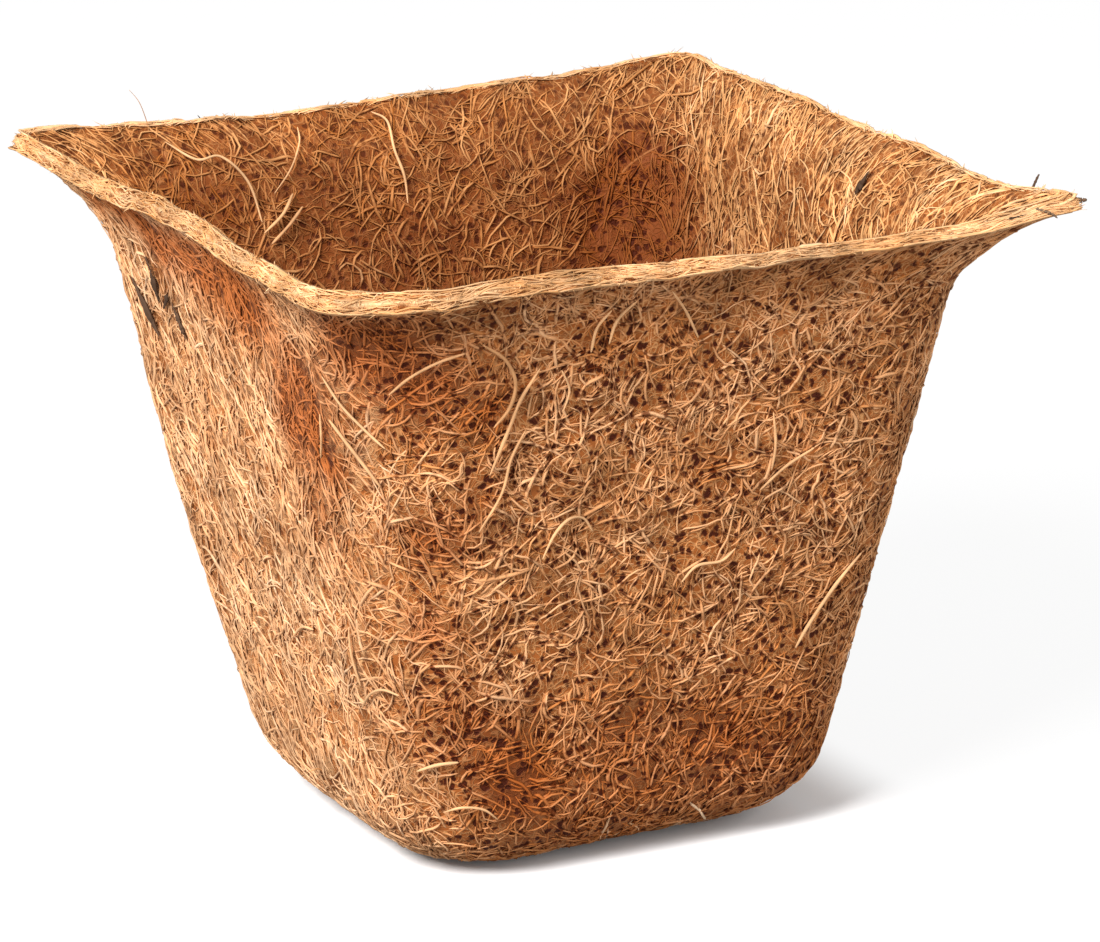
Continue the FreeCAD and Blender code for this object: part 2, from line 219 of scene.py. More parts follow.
def wall_profile():
    """The outside from the middle of the floor to past the cut edge, as rows: way, height, half side,
    lean of the way out below level, corner radius, the blunt corner's, and how far a radius gives way
    to depth. In turn a level line, an arc, a leaning line, a quarter of an ellipse laid on that line,
    and a straight run past its end."""
    def table(*columns):
        return np.stack(np.broadcast_arrays(*columns), axis=-1)

    disc = np.linspace(0, 1, 30)[:-1]
    corner = disc * (FOOT_CORNER * DISC_HALF / FOOT_HALF)
    rows = [table(0.0, disc * DISC_HALF, math.pi / 2, corner, corner, 1.0)]
    turn = np.linspace(0, FULL_ROUND, 60)[:-1]
    half = DISC_HALF + FLOOR_ROUND * np.sin(turn)
    corner = FOOT_CORNER * half / FOOT_HALF
    rows.append(table(FLOOR_ROUND * (1 - np.cos(turn)), half, math.pi / 2 - turn, corner, corner, 1.0))
    start = FLOOR_ROUND * (1 - math.sin(DRAFT_ANGLE))
    height = np.linspace(start, SHOULDER_HEIGHT, 80)[:-1]
    half = FOOT_HALF + DRAFT * height
    first = FOOT_CORNER * half[0] / FOOT_HALF
    corner = np.interp(height, (start, SHOULDER_HEIGHT), (first, SHOULDER_CORNER))
    rows.append(table(height, half, DRAFT_ANGLE, corner, corner, 1.0))
    turn = np.linspace(0, FLARE_TURN, 60)
    grown = (1 - np.cos(turn)) / (1 - math.cos(FLARE_TURN))
    rise = BRIM_HEIGHT - SHOULDER_HEIGHT
    reach = POT_HIGH.x - FOOT_HALF - DRAFT * BRIM_HEIGHT
    height = SHOULDER_HEIGHT + rise * np.sin(turn) / math.sin(FLARE_TURN)
    half = FOOT_HALF + DRAFT * height + reach * grown
    steeper = math.sin(FLARE_TURN) / (1 - math.cos(FLARE_TURN)) * np.tan(turn)
    lean = np.arctan(DRAFT + reach / rise * steeper)
    ear = SHOULDER_CORNER + (EAR_TIP - SHOULDER_CORNER) * grown
    front = SHOULDER_CORNER + (FRONT_CORNER - SHOULDER_CORNER) * grown
    rows.append(table(height, half, lean, ear, front, 1 - grown))
    last = rows[-1][-1].copy()
    last[0] += RUN_OUT * math.cos(last[2])
    last[1] += RUN_OUT * math.sin(last[2])
    rows = np.vstack(rows + [last[None]])
    ways = np.hypot(np.diff(rows[:, 0]), np.diff(rows[:, 1]))
    return np.vstack([np.append(0, np.cumsum(ways)), rows.T])


PROFILE = wall_profile()
WAY_ROUND = float(np.interp(DISC_HALF, PROFILE[2], PROFILE[0]))
WAY_EDGE = float(PROFILE[0, -2])
# the front lip was pressed thinner, most of all a third of the way to its right ear
WAY_FLARE = float(np.interp(SHOULDER_HEIGHT, PROFILE[1], PROFILE[0]))
LIP_PINCH = 0.42
LIP_PINCH_PLACE = 3.17
LIP_PINCH_WIDE = 0.30


def quarter_length(way):
    """The way round the outside from the middle of one side to the next, at each place up the wall."""
    half, corner = (np.interp(way, PROFILE[0], PROFILE[row]) for row in (2, 4))
    return 2 * (half - corner) + corner * math.pi / 2


def sprung(points):
    """The pot as it left the mould: the ears curl on, the long sides of the brim settle, and the foot
    gives a little. Each row of the table moves points by a bell curve round a place, as far as they
    belong to the brim, the wall or the foot, and smooth noise makes the brim wavy."""
    x, y, z = np.moveaxis(points, -1, 0)
    lifted = np.clip((z - 60 * MM) / (24 * MM), 0, 1)
    lifted = lifted * lifted * (3 - 2 * lifted)
    share = {
        "brim": lifted,
        "foot": np.clip(1 - z / (26 * MM), 0, 1),
        "wall": np.exp(-((z - 45 * MM) / (16 * MM)) ** 2),
    }
    moved = points.copy()
    for part, place_x, place_y, spread, *shift in SPRINGS:
        away = (x - place_x * MM) ** 2 + (y - place_y * MM) ** 2
        near = np.exp(-away / (spread * MM) ** 2) * share[part]
        moved += near[..., None] * np.array(shift) * MM
    waves = 0.30 * MM * cloudy(points, 7 * MM, 90) + 0.20 * MM * cloudy(points, 2.5 * MM, 91)
    moved[..., 2] += lifted * waves
    return moved


# which part gives, where, the width of the bell, and the shift, in millimetres
SPRINGS = (
    ("brim", 50, -50, 9, 2.4, -2.4, 2.0),
    ("brim", -50, 50, 9, -1.0, 1.0, 1.0),
    ("brim", 50, 50, 10, 0.3, 0.3, 1.2),
    ("brim", 50, 20, 20, 0, 0, 1.6),
    ("brim", 50, -18, 16, 0, 0, 1.1),
    ("brim", -34, 50, 12, 0, 0, 0.9),
    ("wall", -40, 40, 22, -0.6, 0.6, 0),
    ("brim", -50, 0, 16, 0.5, 0, 1.2),
    ("brim", -15, 50, 18, 0, -0.3, -0.5),
    ("foot", -28, 28, 14, 1.4, -1.4, 1.0),
    ("foot", 10, -30, 20, 0, 0.2, 0.8),
)


def on_felt(around, way, inset):
    """Points of the felt and the way out of it there, for arrays of places. around counts sides from
    the middle of +X towards +Y, way runs up the outside, inset goes down into the felt. The outline
    is a square with round corners: along a side, round an arc, along the next side. Where the lip
    was pressed thinner, depths shrink by a bell curve along the brim."""
    pinched = np.exp(-((around % 4 - LIP_PINCH_PLACE) / LIP_PINCH_WIDE) ** 2)
    flared = np.clip((way - WAY_FLARE) / (WAY_EDGE - WAY_FLARE), 0, 1)
    inset = inset * (1 - LIP_PINCH * pinched * flared)
    height, half, lean, ear, front, shrink = (np.interp(way, PROFILE[0], row) for row in PROFILE[1:])
    quarter = np.floor(around)
    level = np.cos(lean)
    corner = np.where(quarter % 4 == 2, front, ear) - inset * level * shrink
    corner = np.maximum(corner, EAR_TIP / 4)
    half = half - inset * level
    run = half - corner
    place = (around - quarter) * (2 * run + corner * math.pi / 2)
    turn = np.clip((place - run) / corner, 0, math.pi / 2)
    x = run + corner * np.cos(turn) - np.maximum(place - run - corner * math.pi / 2, 0)
    y = np.minimum(place, run) + corner * np.sin(turn)
    swing = quarter * math.pi / 2
    points = np.stack([
        x * np.cos(swing) - y * np.sin(swing),
        x * np.sin(swing) + y * np.cos(swing),
        height + inset * np.sin(lean),
    ], axis=-1)
    facing = turn + swing
    out = np.stack([np.cos(facing) * level, np.sin(facing) * level, -np.sin(lean)], axis=-1)
    return sprung(points), out


def laid(around, way, depth, lining):
    """Points that deep under the felt's outside or its lining, and the way out of the felt there."""
    points, outs = on_felt(around, way, FELT_THICKNESS - depth if lining else depth)
    return points, -outs if lining else outs


def cloudy(points, size, seed):
    """Smooth noise from -1 to 1: random numbers on a lattice of that size, blended by eights."""
    rng = np.random.default_rng(seed)
    cells = 24
    lattice = rng.uniform(-1, 1, (cells, cells, cells))
    scaled = points / size + 1000
    low = np.floor(scaled).astype(int)
    part = scaled - low
    part = part * part * (3 - 2 * part)
    value = 0
    for corner in np.ndindex(2, 2, 2):
        weight = np.where(corner, part, 1 - part).prod(axis=-1)
        cell = (low + corner) % cells
        value = value + weight * lattice[cell[..., 0], cell[..., 1], cell[..., 2]]
    return value


# The darker places of the felt: husk dust that stayed in it, its net open, and painted shade under the
# left lip and in the far inside corner
#
# By side: along it as a share of half its width, up it as a share of the brim's height, width in
# millimetres, how much redder, and how much deeper.
DUST_AND_SHADE_PATCHES = {
    "front": (
        (-0.8, 0.86, 7, 0.9, 0.25), (-0.86, 0.955, 4.5, 0.6, 0.2),
        (-0.62, 0.8, 3.4, 0.6, 1), (-0.26, 0.89, 3.2, 0.3, 1),
        (-0.66, 0.67, 2.4, 0.5, 0.8), (-0.8, 0.6, 5, 0.7, 0.2),
        (-0.84, 0.45, 4, 0.7, 0.3), (-0.55, 0.16, 5, 0.8, 0.6),
        (-0.1, 0.24, 5, 0.3, 0.4), (0.3, 0.2, 6, 0.4, 0.3),
        (-0.15, 0.1, 15, 0.6, 0.3), (0.65, 0.12, 14, 0.55, 0.3),
        (-0.62, 0.24, 6, 0.5, 0.5), (-0.82, 0.3, 7, 0.45, 0.5),
        (0.15, 0.66, 3, 0.3, 0.4),
    ),
    "left": (
        # High on this side, just under the lip, the places are partly husk dust and partly painted
        # shade of the lip.
        (-0.55, 0.8, 7, 0.7, 0), (-0.3, 0.92, 6, 0.9, 0),
        (-0.84, 0.9, 6, 0.65, 0.2), (-0.86, 0.955, 5, 0.7, 0.1),
        (-0.12, 0.92, 6.5, 1.2, 0.3), (0.12, 0.93, 6, 1.1, 0.2),
        (0.34, 0.94, 5, 1.1, 0.1), (0.66, 0.975, 3, 1.1, 0.7),
        (0.5, 0.975, 3, 1.3, 0.8), (0.34, 0.98, 3, 1.3, 0.8),
        (-0.42, 0.74, 5, 0.7, 0.1), (-0.66, 0.7, 4, 0.55, 0.3),
        (-0.55, 0.78, 9, 0.4, 0.1), (-0.55, 0.6, 6, 0.45, 0.1),
    ),
}
LINING_DUST_AND_SHADE_PATCHES = {
    "back": (
        # Painted shade: the reddest, deepest places here lie in the far inside corner.
        (0.9, 0.84, 7, 1.6, 0.9), (0.92, 0.66, 8, 1.6, 0.9),
        (-0.76, 0.8, 7, 0.65, 0.5), (0.62, 0.8, 6, 0.3, 0.2),
        (0.1, 0.7, 12, 0.2, 0.2), (0, 0.74, 34, 0.6, 0.1),
        (-0.6, 0.9, 9, 0.3, 0.2),
    ),
    "right": (
        # Painted shade: the places at the far end lie in the same corner.
        (0.96, 0.8, 6, 1, 0.5), (0.88, 0.75, 6, 0.5, 0.2),
        (0.2, 0.62, 9, 0.8, 0.3), (0.5, 0.72, 9, 0.55, 0.2),
        (0.68, 0.72, 7, 0.4, 0.2),
    ),
}
# each side's number round the pot, and -1 where the shares along it count the other way
SIDES = {"right": (0, 1), "back": (1, -1), "left": (2, -1), "front": (3, 1)}


def place_on_side(side, along, up):
    """around and way of a place given in shares of half the side's width and of the brim's height."""
    way = np.interp(up * BRIM_HEIGHT, PROFILE[1], PROFILE[0])
    half, ear, front = (np.interp(way, PROFILE[0], PROFILE[row]) for row in (2, 4, 5))
    number, sign = SIDES[side]
    sign *= math.copysign(1, along)
    quarter = number if sign > 0 else number - 1
    corner = front if quarter % 4 == 2 else ear
    run = half - corner
    offset = abs(along) * half
    if offset > run:
        offset = run + corner * math.asin(min(1, (offset - run) / corner))
    return number + sign * offset / (2 * run + corner * math.pi / 2), way


def redder_and_deeper(points, places):
    """How much redder and how much deeper the felt is at each point: bell curves round the places."""
    redder = np.zeros(points.shape[:-1])
    deeper = np.zeros(points.shape[:-1])
    for side, rows in places.items():
        for along, up, width, red, deep in rows:
            centre, _ = on_felt(*place_on_side(side, along, up), 0)
            near = np.exp(-((points - centre) ** 2).sum(-1) / (width * MM) ** 2)
            redder += red * near
            deeper += deep * near
    return redder, deeper


def new_mesh(name, points, faces, attributes=(), uv=None):
    """A mesh object from arrays: points (n, 3), faces as a list of arrays (m, corners), values per
    point by name, and a map per face corner."""
    data = bpy.data.meshes.new(name)
    data.vertices.add(len(points))
    data.vertices.foreach_set("co", np.ascontiguousarray(points, np.float32).ravel())
    corners = np.hstack([f.ravel() for f in faces]).astype(np.int32)
    totals = np.hstack([np.full(len(f), f.shape[1]) for f in faces]).astype(np.int32)
    data.loops.add(len(corners))
    data.loops.foreach_set("vertex_index", corners)
    data.polygons.add(len(totals))
    data.polygons.foreach_set("loop_start", (np.cumsum(totals) - totals).astype(np.int32))
    data.polygons.foreach_set("use_smooth", np.ones(len(totals), bool))
    for attribute, values in dict(attributes).items():
        layer = data.attributes.new(attribute, "FLOAT", "POINT")
        layer.data.foreach_set("value", np.ascontiguousarray(values, np.float32).ravel())
    if uv is not None:
        data.uv_layers.new(name="OFBake").data.foreach_set("uv", uv.astype(np.float32).ravel())
    data.update(calc_edges=True)
    data.validate()
    return placed(name, data)


# The felt under the fibres
#
# The pressed mat itself, closed all round: outside, cut edge, lining and both faces of the floor. It
# lies a little below the fibres that stand out on it, and is dark between them: painted shade of the
# gaps.
COLUMNS = 360
BED = 0.25 * MM
BED_LUMPS = 0.20 * MM


def felt_mat():
    """Rings of points up the outside, over the cut edge and down the lining, closed by one point at
    each end, and pushed in and out by noise."""
    outside = np.concatenate([
        np.linspace(1 * MM, WAY_ROUND, 8)[:-1],
        np.linspace(WAY_ROUND, WAY_EDGE - 0.25 * MM, 86),
    ])
    ways = np.hstack([outside, [WAY_EDGE] * 3, outside[::-1]])
    insets = [BED, 0.8 * MM, 1.2 * MM, 1.6 * MM, FELT_THICKNESS - BED]
    insets = np.repeat(insets, [len(outside), 1, 1, 1, len(outside)])
    around = np.linspace(0, 4, COLUMNS, endpoint=False)
    grid_around, grid_way = np.meshgrid(around, ways)
    points, out = on_felt(grid_around, grid_way, insets[:, None])
    lumps = cloudy(points, 1.7 * MM, 5) + 0.6 * cloudy(points, 0.8 * MM, 6)
    redder, deeper = redder_and_deeper(points, DUST_AND_SHADE_PATCHES | LINING_DUST_AND_SHADE_PATCHES)
    past = np.arange(len(ways))[:, None] - len(outside)
    push = BED_LUMPS * lumps - 0.3 * MM * np.minimum(deeper, 1.2)
    points = points + out * (push * np.where(past < 2, 1, -1))[..., None]
    ends = np.array([[0, 0, BED], [0, 0, FELT_THICKNESS - BED]])
    flat = np.vstack([points.reshape(-1, 3), ends])
    ring = np.arange(COLUMNS)
    after = (ring + 1) % COLUMNS
    row = np.arange(len(ways) - 1)[:, None] * COLUMNS
    quads = np.stack([row + ring, row + after, row + COLUMNS + after, row + COLUMNS + ring], -1)
    last = (len(ways) - 1) * COLUMNS
    pole = len(flat) - 2
    fans = np.vstack([
        np.stack([after, ring, 0 * ring + pole], -1),
        np.stack([last + ring, last + after, 0 * ring + pole + 1], -1),
    ])
    cut = np.clip(1 - np.abs(past - 1) / 3, 0, 1)
    lining = past > 2
    # Painted light: the left wall's outside, which faces the window lamp, and the right wall's lining,
    # which that lamp lights, are paler, and the left has fainter painted pit shade. Painted shade: the
    # lining is darker all over, as the inside of the pot, and the mat is darker where its lumps sink
    # and paler where they stand out.
    painted_light_left = np.clip((0.56 - np.abs(grid_around - 2)) / 0.12, 0, 1) * (1 - lining)
    painted_light_right_lining = np.clip((0.56 - np.abs((grid_around + 2) % 4 - 2)) / 0.12, 0, 1) * lining
    pale = 0.49 - 0.30 * lining + 0.12 * (painted_light_left + painted_light_right_lining) + 0.14 * lumps
    # Painted light: the cut edge takes the palest tone.
    pale = np.maximum(cut, np.clip(pale, 0, 0.75))
    deep = (1 - cut) * (1 - 0.3 * lining) * (1 - 0.45 * painted_light_left) * (1 + 1.6 * deeper)
    values = {
        "pale": np.append(pale, [0.3, 0.3]),
        "stain_and_shade": np.append(np.clip(redder, 0, 0.9), [0, 0]),
        "deep": np.append(deep, [1, 0.7]),
    }
    return new_mesh("felt_mat", flat, [quads.reshape(-1, 4), fans], values)


def new_group(name, inputs, outputs):
    """A node group with sockets given by name and kind: its tree, the values that come in, and the
    sockets that take what goes out."""
    tree = bpy.data.node_groups.new(name, "ShaderNodeTree")
    for way, sockets in (("INPUT", inputs), ("OUTPUT", outputs)):
        for socket, kind in sockets.items():
            tree.interface.new_socket(socket, in_out=way, socket_type="NodeSocket" + kind)
    return tree, tree.nodes.new("NodeGroupInput").outputs, tree.nodes.new("NodeGroupOutput").inputs


def coir_weathering_and_shade():
    """A node group for all coir: mottles a colour over the surface, turns it towards red by one mask,
    of husk dust and of painted shade, and towards the painted shade of a pit by another, and gives the
    roughness and the height of its grain. Pits are the middles of cells of about a millimetre and a
    quarter, and of wider ones where a noise is high, all bent by noise; only what lies deep goes dark
    there, as painted shade of the holes in the felt."""
    sockets = {"Color": "Color", "Dust Color": "Color", "Pit Color": "Color"}
    tree, given, out = new_group(
        "coir_weathering_and_shade",
        {**sockets, "Dust And Shade": "Float", "Deep": "Float"},
        {"Color": "Color", "Roughness": "Float", "Height": "Float", "Pit": "Float"},
    )
    where = shader_node(tree, "TexCoord")["Object"]

    def noise(scale, detail, output="Fac"):
        inputs = {"Vector": where, "Scale": scale, "Detail": detail}
        return shader_node(tree, "TexNoise", inputs)[output]

    def cells(scale, low, high):
        distance = shader_node(tree, "TexVoronoi", {"Vector": bent, "Scale": scale})["Distance"]
        return ranged(tree, distance, low, high, 1, 0)

    coarse = ranged(tree, noise(130, 2), 0.3, 0.7, 0.80, 1.15)
    mottle = joined(tree, "MULTIPLY", coarse, ranged(tree, noise(480, 2), 0.3, 0.7, 0.86, 1.12))
    scaled = {"Vector": given["Color"], "Scale": mottle}
    light = shader_node(tree, "VectorMath", scaled, operation="SCALE")["Vector"]
    dusty_and_shaded = blend(tree, given["Dust And Shade"], light, given["Dust Color"])
    bend = {0: noise(800, 2, "Color"), 1: (0.0014, 0.0014, 0.0014), 2: where}
    bent = shader_node(tree, "VectorMath", bend, operation="MULTIPLY_ADD")["Vector"]
    open_places = ranged(tree, noise(60, 1), 0.50, 0.60, 0, 1)
    wide = joined(tree, "MULTIPLY", open_places, cells(430, 0.16, 0.34))
    both = joined(tree, "MAXIMUM", cells(780, 0.24, 0.46), wide)
    pit = joined(tree, "MULTIPLY", both, given["Deep"])
    grain = noise(1500, 3)
    tree.links.new(blend(tree, pit, dusty_and_shaded, given["Pit Color"]), out["Color"])
    tree.links.new(ranged(tree, grain, 0, 1, 0.55, 0.85), out["Roughness"])
    tree.links.new(grain, out["Height"])
    tree.links.new(pit, out["Pit"])
    return tree


WEATHERING_AND_SHADE = coir_weathering_and_shade()
WEB_FIELDS = 5
WEB_FOLD = 0.07


def coir_web():
    """A node group for the web of buried fibres: thin winding lines, each a contour of smooth noise.
    A field's value is folded into a few levels, and what lies near a level is line. Fields laid over
    each other cross like fibres. Puts out the mask of the lines and their height, which the mat turns
    into painted shade: the lines of later fields come out darker."""
    sockets = {"Scale": "Float", "Thickness": "Float"}
    tree, given, out = new_group("coir_web", sockets, {"Mask": "Float", "Shade": "Float"})
    where = shader_node(tree, "TexCoord")["Object"]
    mask = shade = 0
    for field in range(WEB_FIELDS):
        offset = (field * 1.7, field * 3.1, field * 2.3)
        moved = shader_node(tree, "VectorMath", {0: where, 1: offset}, operation="ADD")[0]
        inputs = {"Vector": moved, "Scale": given["Scale"], "Detail": 0.6}
        noise = shader_node(tree, "TexNoise", inputs)["Fac"]
        folded = joined(tree, "PINGPONG", noise, WEB_FOLD)
        line = ranged(tree, folded, 0, given["Thickness"], 1, 0)
        mask = joined(tree, "MAXIMUM", mask, line)
        shade = joined(tree, "MAXIMUM", shade, joined(tree, "MULTIPLY", line, 1 - 0.13 * field))
    tree.links.new(mask, out["Mask"])
    tree.links.new(shade, out["Shade"])
    return tree


def coloured(tree, attribute, ramp):
    """The output of a ramp of colours that an attribute of the mesh runs through."""
    value = shader_node(tree, "Attribute", attribute_name=attribute)["Fac"]
    colour = shader_node(tree, "ValToRGB", {"Fac": value})["Color"]
    ends = colour.node.color_ramp.elements
    while len(ends) < len(ramp):
        ends.new(0.5)
    for end, (place, shade) in zip(ends, ramp):
        end.position = place
        end.color = (*shade, 1)
    return colour


def weathered_and_shaded(tree, colour, dust_and_shade_colour, pit_colour, bump, web=None):
    """Leads a colour through the group of weathering and painted shade into the tree's shader, with
    the relief of its grain or, where a web's mask is given, of the web's lines."""
    inputs = {"Color": colour, "Dust Color": (*dust_and_shade_colour, 1), "Pit Color": (*pit_colour, 1)}
    for attribute, socket in (("stain_and_shade", "Dust And Shade"), ("deep", "Deep")):
        inputs[socket] = shader_node(tree, "Attribute", attribute_name=attribute)["Fac"]
    skin = shader_node(tree, "Group", inputs, node_tree=WEATHERING_AND_SHADE)
    height = skin["Height"] if web is None else joined(tree, "SUBTRACT", web, skin["Pit"])
    relief = shader_node(tree, "Bump", {"Strength": 0.6, "Distance": bump, "Height": height})
    shader = tree.nodes["Principled BSDF"]
    shader.inputs["Specular IOR Level"].default_value = 0.12
    tree.links.new(skin["Color"], shader.inputs["Base Color"])
    tree.links.new(skin["Roughness"], shader.inputs["Roughness"])
    tree.links.new(relief["Normal"], shader.inputs["Normal"])


# Painted shade: the dark that fibres take where they lie deep over a hole in the felt.
FIBRE_PIT = (0.12, 0.024, 0.003)


def coir_material(name, ramp, dust_and_shade_colour):
    """Coir whose colour runs through ramp by each fibre's tint, with weathering and painted shade from
    the group.
    """
    material = bpy.data.materials.new(name)
    material.use_nodes = True
    tree = material.node_tree
    weathered_and_shaded(tree, coloured(tree, "tint", ramp), dust_and_shade_colour, FIBRE_PIT, 0.02 * MM)
    return material


def mat_material():
    """The mat below: the web's lines in brown over a ground that is dark as painted shade, paler where
    the mat was cut.
    """
    material = bpy.data.materials.new("felt_mat")
    material.use_nodes = True
    tree = material.node_tree
    web = shader_node(tree, "Group", {"Scale": 310, "Thickness": 0.016}, node_tree=coir_web())
    pits, lines = coloured(tree, "pale", MAT_PITS), coloured(tree, "pale", MAT_LINES)
    mixed = blend(tree, web["Shade"], pits, lines)
    weathered_and_shaded(tree, mixed, MAT_DUST_AND_SHADE, MAT_PIT, 0.25 * MM, web["Mask"])
    return material


# The mat's colours, by its pale value: the web's lines, and the ground between them, which is dark as
# painted shade of the gaps; then a pit's painted shade, and red dust that is partly painted shade, for
# the patches.
MAT_LINES = ((0, (0.32, 0.102, 0.020)), (0.6, (0.60, 0.29, 0.112)), (1, (0.80, 0.53, 0.29)))
MAT_PITS = ((0, (0.13, 0.032, 0.005)), (0.6, (0.31, 0.092, 0.020)), (1, (0.74, 0.47, 0.24)))
MAT_PIT = (0.055, 0.008, 0.001)
MAT_DUST_AND_SHADE = (0.17, 0.04, 0.008)
felt = felt_mat()
felt.data.materials.append(mat_material())
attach(felt, "root")
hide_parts("felt_pot")

# The fibres that stand out on the walls
#
# Coconut fibres, curled as the mat is blown together, lie over and under each other on the outside.
# The binder holds them, and dark cells show between them: painted shade of the holes in the felt.
# Each side's fibres are one piece.
FIBRE_STEPS = 8
FIBRE_LENGTH = 7.8 * MM
FIBRE_RADIUS = 0.172 * MM
FLOOR_FIBRE_RADIUS = 0.165 * MM
EDGE_FIBRE_RADIUS = 0.14 * MM
FRAYED_RADIUS = 0.09 * MM
UNEVEN = 0.28
LOCK_FIBRES = 3
EDGE_FIBRES = 2700
FRAYED_ENDS = 2600
# Red husk dust, and painted shade where fibres lie deep in the weave.
RED_DUST_AND_SHADE = (0.38, 0.095, 0.016)
FIBRE_RAMP = (
    (0, (0.22, 0.055, 0.010)),
    (0.35, (0.48, 0.18, 0.048)),
    (0.7, (0.70, 0.40, 0.205)),
    (1, (0.92, 0.65, 0.42)),
)
# The lining's colours are darker and redder in the middle than the outside's: painted shade and
# painted bounce light inside the pot.
LINING_RAMP = (
    (0, (0.22, 0.055, 0.008)),
    (0.35, (0.41, 0.138, 0.026)),
    (0.7, (0.68, 0.35, 0.140)),
    (1, (0.94, 0.64, 0.38)),
)
FIBRE_MATERIAL = coir_material("coir_fibre_outside", FIBRE_RAMP, RED_DUST_AND_SHADE)
LINING_MATERIAL = coir_material("coir_fibre_lining", LINING_RAMP, (0.19, 0.044, 0.005))


def unit(vectors):
    """The vectors at a length of one."""
    return vectors / np.maximum(np.linalg.norm(vectors, axis=-1, keepdims=True), 1e-9)


def fibre_tubes(name, lines, outs, radii, tint, stain_and_shade=0, deep=0, sides=3, flatness=1):
    """Tubes round lines (fibre, step, 3), pointed at both ends. outs is the way out of the felt at
    each step; radii, tint, stain and deep are values at each. Ring corners go round the tangent from
    the felt's way out, as far up as flatness says; each fibre has its own strip of the map."""
    count, steps, _ = lines.shape
    tangent = unit(np.gradient(lines, axis=1))
    across = unit(np.cross(tangent, outs))
    lifted = np.cross(across, tangent)
    angles = np.arange(sides) * 2 * math.pi / sides + math.pi / 2
    rings = lines[:, 1:-1, None] + radii[:, 1:-1, None, None] * (
        np.cos(angles)[:, None] * across[:, 1:-1, None]
        + flatness * np.sin(angles)[:, None] * lifted[:, 1:-1, None]
    )
    points = np.hstack([lines[:, :1], rings.reshape(count, -1, 3), lines[:, -1:]])
    per = points.shape[1]
    start = np.arange(count)[:, None, None] * per
    corner = np.arange(sides)
    after = (corner + 1) % sides
    ring = start + np.arange(steps - 3)[:, None] * sides + 1
    quads = np.stack([ring + corner, ring + after, ring + sides + after, ring + sides + corner], -1)
    first = np.broadcast_to(start[:, 0], (count, sides))
    near = np.stack([first, first + 1 + after, first + 1 + corner], axis=-1)
    last = first + per - 1
    far = np.stack([last, last - sides + corner, last - sides + after], axis=-1)
    strips = math.ceil(math.sqrt(count * 0.12))
    stacked = math.ceil(count / strips)
    fibre = np.arange(count)[:, None, None, None]
    left = (fibre // stacked) / strips
    low = (fibre % stacked) / stacked
    long = 0.94 / strips / (steps - 1)
    wide = 0.8 / stacked / sides
    quad_u = left + long * (np.arange(steps - 3)[:, None, None] + np.array([1, 1, 2, 2]))
    quad_v = low + wide * (corner[:, None] + np.array([0, 1, 1, 0]))
    near_u = left[:, 0] + long * np.array([0, 1, 1])
    far_u = left[:, 0] + long * (steps - 1 - np.array([0, 1, 1]))
    tip_v = low[:, 0] + wide * (corner[:, None] + np.array([0.5, 1, 0]))
    uvs = [(quad_u, quad_v), (near_u, tip_v), (far_u, tip_v[..., [0, 2, 1]])]
    uvs = np.vstack([np.stack(np.broadcast_arrays(*pair), axis=-1).reshape(-1, 2) for pair in uvs])
    ring_of = np.hstack([0, np.repeat(np.arange(1, steps - 1), sides), steps - 1])
    values = {"tint": tint, "stain_and_shade": stain_and_shade, "deep": deep}
    values = {key: np.broadcast_to(value, (count, steps))[:, ring_of] for key, value in values.items()}
    faces = [quads.reshape(-1, 4), near.reshape(-1, 3), far.reshape(-1, 3)]
    return new_mesh(name, points.reshape(-1, 3), faces, values, uvs)


def strewn(rng, side, locks, members, length, straight, ways):
    """Routes of fibres strewn over one side, as around and way at each step. Fibres come in locks that
    start near each other and run nearly alike; each turns by its own curl and by chance as it goes,
    and folds back where it meets an end of the side's ways."""
    reach = np.linspace(*ways, 60)
    weight = np.cumsum(quarter_length(reach))
    way = np.interp(rng.random(locks) * weight[-1], weight, reach)
    around = side + rng.uniform(-0.5, 0.5, locks)
    heading = rng.uniform(0, 2 * math.pi, locks)
    upright = rng.random(locks) < straight
    heading = np.where(upright, math.pi / 2 + rng.normal(0, 0.35, locks), heading)
    curl = rng.normal(0, 170, locks) * np.where(upright, 0.3, 1)
    way, around, heading, curl = (np.repeat(v, members)[:, None] for v in (way, around, heading, curl))
    count = locks * members
    way = way + rng.normal(0, 0.7 * MM, (count, 1))
    around = around + rng.normal(0, 0.7 * MM, (count, 1)) / quarter_length(way)
    heading = heading + rng.normal(0, 0.3, (count, 1))
    curl = curl + rng.normal(0, 90, (count, 1))
    step = length / (FIBRE_STEPS - 1) * np.exp(rng.normal(0, 0.25, (count, 1)))
    wobble = np.cumsum(rng.normal(0, 0.2, (count, FIBRE_STEPS - 1)), axis=1)
    heading = heading + curl * step * np.arange(FIBRE_STEPS - 1) + wobble
    zero = np.zeros((count, 1))
    way = way + np.cumsum(np.hstack([zero, step * np.sin(heading)]), axis=1)
    low, high = ways
    way = np.minimum(way, 2 * high - way)
    way = np.clip(np.maximum(way, 2 * low - way), low, high)
    sideways = step * np.cos(heading) / quarter_length(way[:, :-1])
    around = around + np.cumsum(np.hstack([zero, sideways]), axis=1)
    return around, way


def wave(rng, count, steps, least, most):
    """A sine along each fibre, from a phase of its own and with least to most turns."""
    turns = rng.random((count, 1)) + steps * rng.uniform(least, most, (count, 1))
    return np.sin(2 * math.pi * turns)


def weave(rng, count, deepest, highest):
    """How deep each fibre lies at each step: a slow wave, and ends that dive into the mat."""
    steps = np.arange(FIBRE_STEPS) / (FIBRE_STEPS - 1)
    middle = rng.uniform(highest, deepest, (count, 1))
    depth = middle + 0.11 * MM * wave(rng, count, steps, 0.8, 2.2)
    return depth + 0.40 * MM * np.abs(2 * steps - 1) ** 3


